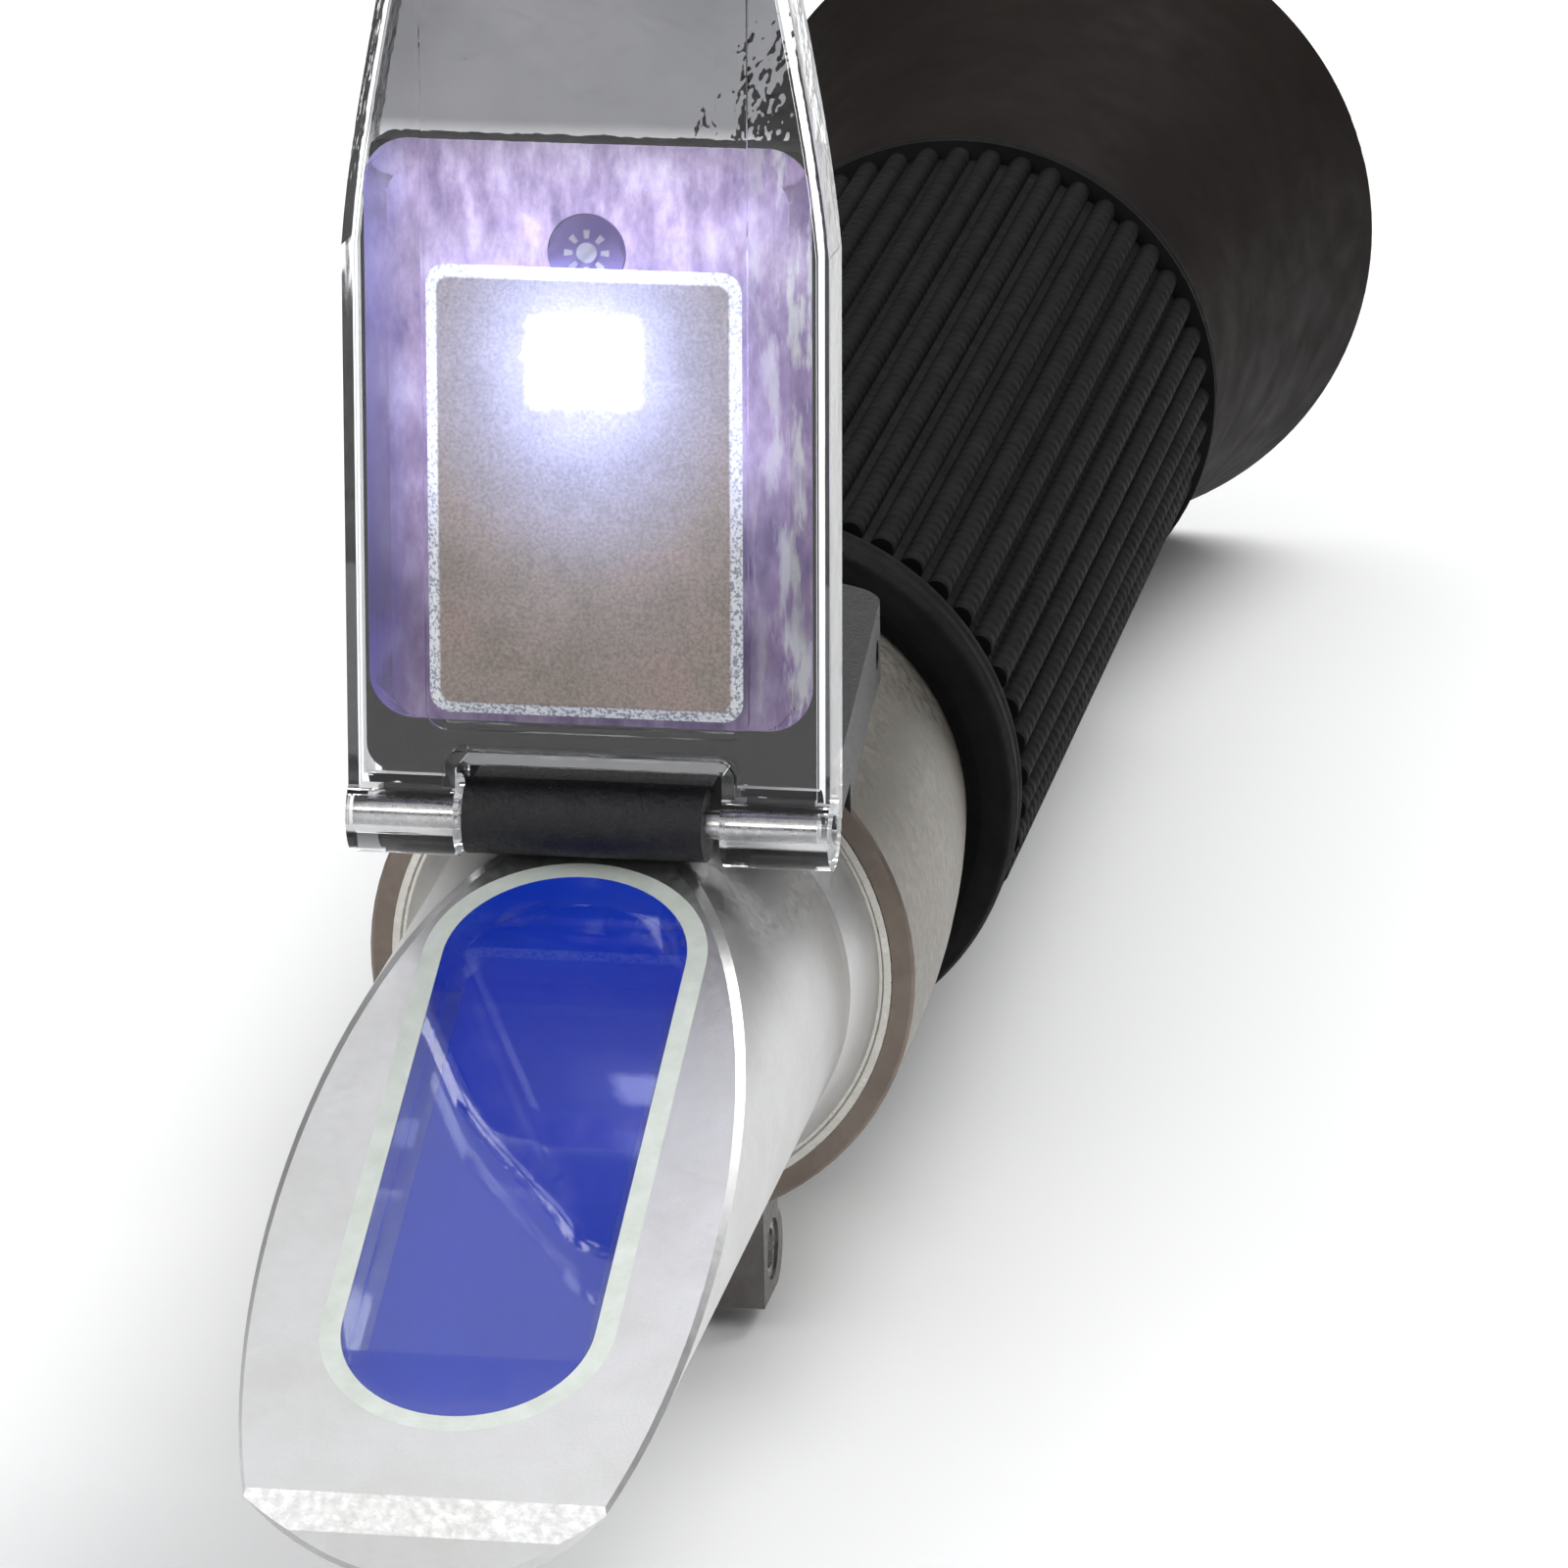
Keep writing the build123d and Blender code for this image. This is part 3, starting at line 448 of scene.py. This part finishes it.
# painted light: the label glows round the lamp and more towards the top
lit = lavender.ramp(lamp_distance(lavender, label_x, label_z, 0.8), 0.42, 0.03, 4.0 * MM, 12.5 * MM)
lit = lavender.math("ADD", lit, lavender.ramp(label_z, 0.0, 0.16, 22 * MM, 26 * MM))
lit_patches = lavender.math("MULTIPLY", lit, lavender.ramp(patches, 0.5, 1.3, 0.35, 0.65))
lavender.link(lit_patches, "Emission Strength")
lavender.set("Emission Color", (0.80, 0.78, 1.0, 1.0))
lavender.wear(0.8 * MM, 0.4, 0.6)
lavender.bump(lavender.noise(0.5 * MM, 3.0), 0.03 * MM)
assign(lavender.material, "adhesive_layer")

mark_low, mark_high = (Vector(corner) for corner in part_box("button_mark"))
mark_middle = (mark_low + mark_high) / 2
mark = Shader("mark_purple", (0.35, 0.28, 0.62), 0.45)
mark_place = mark.node("ShaderNodeSeparateXYZ", Vector=mark.place())
mark_x = mark.math("SUBTRACT", mark_place.outputs["X"], mark_middle.x)
mark_z = mark.math("SUBTRACT", mark_place.outputs["Z"], mark_middle.z)
distance = mark.math(
    "SQRT",
    mark.math("ADD", mark.math("MULTIPLY", mark_x, mark_x), mark.math("MULTIPLY", mark_z, mark_z)),
)
angle = mark.math("ARCTAN2", mark_z, mark_x)
ray = mark.math("GREATER_THAN", mark.math("COSINE", mark.math("MULTIPLY", angle, RAYS)), 0.35)
ray = mark.math("MULTIPLY", ray, mark.math("GREATER_THAN", distance, RAY_START))
ray = mark.math("MULTIPLY", ray, mark.math("LESS_THAN", distance, RAY_END))
sun = mark.math("MAXIMUM", ray, mark.math("LESS_THAN", distance, MARK_CORE))
mark.link(mark.colors(sun, [(0.4, (0.35, 0.28, 0.62)), (0.6, (0.86, 0.85, 0.95))]), "Base Color")
mark.wear(0.3 * MM, 0.38, 0.52)
mark.bump(mark.noise(0.4 * MM, 3.0), 0.02 * MM)
assign(mark.material, "button_mark")

# ---------------------------------------------------------------- floor
floor_mesh = bpy.data.meshes.new("floor")
FLOOR_HALF = 4.0
FLOOR_DROP = -0.2 * MM      # keeps the floor clear of the lowest points
floor_mesh.from_pydata(
    [(-FLOOR_HALF, -FLOOR_HALF, 0), (FLOOR_HALF, -FLOOR_HALF, 0),
     (FLOOR_HALF, FLOOR_HALF, 0), (-FLOOR_HALF, FLOOR_HALF, 0)],
    [],
    [(0, 1, 2, 3)],
)
floor = bpy.data.objects.new("floor", floor_mesh)
bpy.context.scene.collection.objects.link(floor)
floor.location.z = FLOOR_DROP
pale = Shader("floor_pale", (0.93, 0.93, 0.93), 0.75)
pale.tint(0.4, (0.92, 0.92, 0.92), (0.94, 0.94, 0.94))
floor_mesh.materials.append(pale.material)

# ---------------------------------------------------------------- camera
CAMERA_PLACE = Vector((86.7, -481.2, 179.1)) * MM
VIEW_TURN = 10.25           # degrees to the left of straight along the body
VIEW_DOWN = 18.69
VIEW_ROLL = -0.93
LENS = 241.7

camera_data = bpy.data.cameras.new("camera")
camera_data.lens = LENS
camera_data.sensor_width = 36.0
camera = bpy.data.objects.new("camera", camera_data)
bpy.context.scene.collection.objects.link(camera)
camera.matrix_world = (
    Matrix.Translation(CAMERA_PLACE)
    @ Matrix.Rotation(math.radians(VIEW_TURN), 4, "Z")
    @ Matrix.Rotation(math.radians(90 - VIEW_DOWN), 4, "X")
    @ Matrix.Rotation(math.radians(VIEW_ROLL), 4, "Z")
)
bpy.context.scene.camera = camera

# ---------------------------------------------------------------- light


def softbox(name, place, aim, width, height, power):
    data = bpy.data.lights.new(name, "AREA")
    data.shape = "RECTANGLE"
    data.size = width
    data.size_y = height
    data.energy = power
    lamp = bpy.data.objects.new(name, data)
    lamp.location = place
    direction = Vector(aim) - Vector(place)
    lamp.rotation_euler = direction.to_track_quat("-Z", "Y").to_euler()
    bpy.context.scene.collection.objects.link(lamp)


softbox("key", (0.30, 0.37, 0.66), (0, 0, 0.02), 0.45, 0.45, 4.4)
softbox("top", (-0.16, 0.42, 0.82), (0, -0.07, 0.02), 0.95, 0.80, 1.4)
softbox("left", (-0.55, -0.45, 0.55), (0, 0, 0.02), 0.5, 0.5, 2.0)
softbox("front", (-0.15, -0.85, 0.41), (0, -0.085, 0.02), 0.30, 0.20, 1.0)
softbox("right", (0.6, -0.1, 0.55), (0, 0, 0.02), 0.3, 0.5, 0.4)

world = bpy.data.worlds.new("studio")
world.use_nodes = True
nodes = world.node_tree.nodes
links = world.node_tree.links
direction = nodes.new("ShaderNodeSeparateXYZ")
links.new(nodes.new("ShaderNodeTexCoord").outputs["Generated"], direction.inputs["Vector"])
fade = nodes.new("ShaderNodeMapRange")
fade.inputs["To Min"].default_value = 0.12
fade.inputs["To Max"].default_value = 0.65
links.new(direction.outputs["Z"], fade.inputs["Value"])
background = nodes["Background"]
background.inputs["Color"].default_value = (0.97, 0.98, 1.0, 1.0)
links.new(fade.outputs["Result"], background.inputs["Strength"])
bpy.context.scene.world = world
bpy.context.scene.view_settings.view_transform = "Standard"
